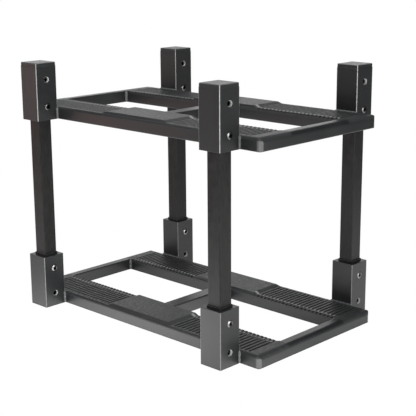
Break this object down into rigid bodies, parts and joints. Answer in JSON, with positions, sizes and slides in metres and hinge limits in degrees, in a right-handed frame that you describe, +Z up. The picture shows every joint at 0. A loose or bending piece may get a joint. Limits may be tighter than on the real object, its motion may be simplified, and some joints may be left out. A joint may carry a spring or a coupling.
{
  "type": "dumbbell rack",
  "caption": "Free-standing two-tier dumbbell rack: ribbed tray decks on welded tube frames, joined by square posts bolted into corner sockets.",
  "frame": {"origin": "centre of the footprint, on the floor", "axes": "+X along the long side, to the right as seen from the front; +Y from the front to the back; +Z up"},
  "size_m": [0.642, 0.438, 0.5095],
  "materials": {
    "frame": "satin charcoal powder coat",
    "post": "satin black powder coat over brushed tube",
    "deck": "moulded charcoal, fine grain",
    "cap": "moulded charcoal, satin",
    "bush": "black nylon",
    "fastener": "dark zinc",
    "weld": "powder coat over the bead"
  },
  "bodies": {
    "root": {"bolts": "fastener", "front_left_cap": "cap", "front_left_post": "post", "front_right_cap": "cap", "front_right_post": "post", "lower_crossbar": "frame", "lower_front_centre_plate": "deck", "lower_front_left_bush": "bush", "lower_front_left_pad": "deck", "lower_front_left_socket": "frame", "lower_front_rail": "frame", "lower_front_right_bush": "bush", "lower_front_right_pad": "deck", "lower_front_right_socket": "frame", "lower_left_side_tube": "frame", "lower_rail_ends": "frame", "lower_rear_centre_plate": "deck", "lower_rear_left_bush": "bush", "lower_rear_left_pad": "deck", "lower_rear_left_socket": "frame", "lower_rear_rail": "frame", "lower_rear_right_bush": "bush", "lower_rear_right_pad": "deck", "lower_rear_right_socket": "frame", "lower_right_side_tube": "frame", "lower_welds": "weld", "nuts": "fastener", "rear_left_cap": "cap", "rear_left_post": "post", "rear_right_cap": "cap", "rear_right_post": "post", "upper_crossbar": "frame", "upper_front_centre_plate": "deck", "upper_front_left_bush": "bush", "upper_front_left_pad": "deck", "upper_front_left_socket": "frame", "upper_front_rail": "frame", "upper_front_right_bush": "bush", "upper_front_right_pad": "deck", "upper_front_right_socket": "frame", "upper_left_side_tube": "frame", "upper_rail_ends": "frame", "upper_rear_centre_plate": "deck", "upper_rear_left_bush": "bush", "upper_rear_left_pad": "deck", "upper_rear_left_socket": "frame", "upper_rear_rail": "frame", "upper_rear_right_bush": "bush", "upper_rear_right_pad": "deck", "upper_rear_right_socket": "frame", "upper_right_side_tube": "frame", "upper_welds": "weld", "washers": "fastener"}
  },
  "joints": []
}
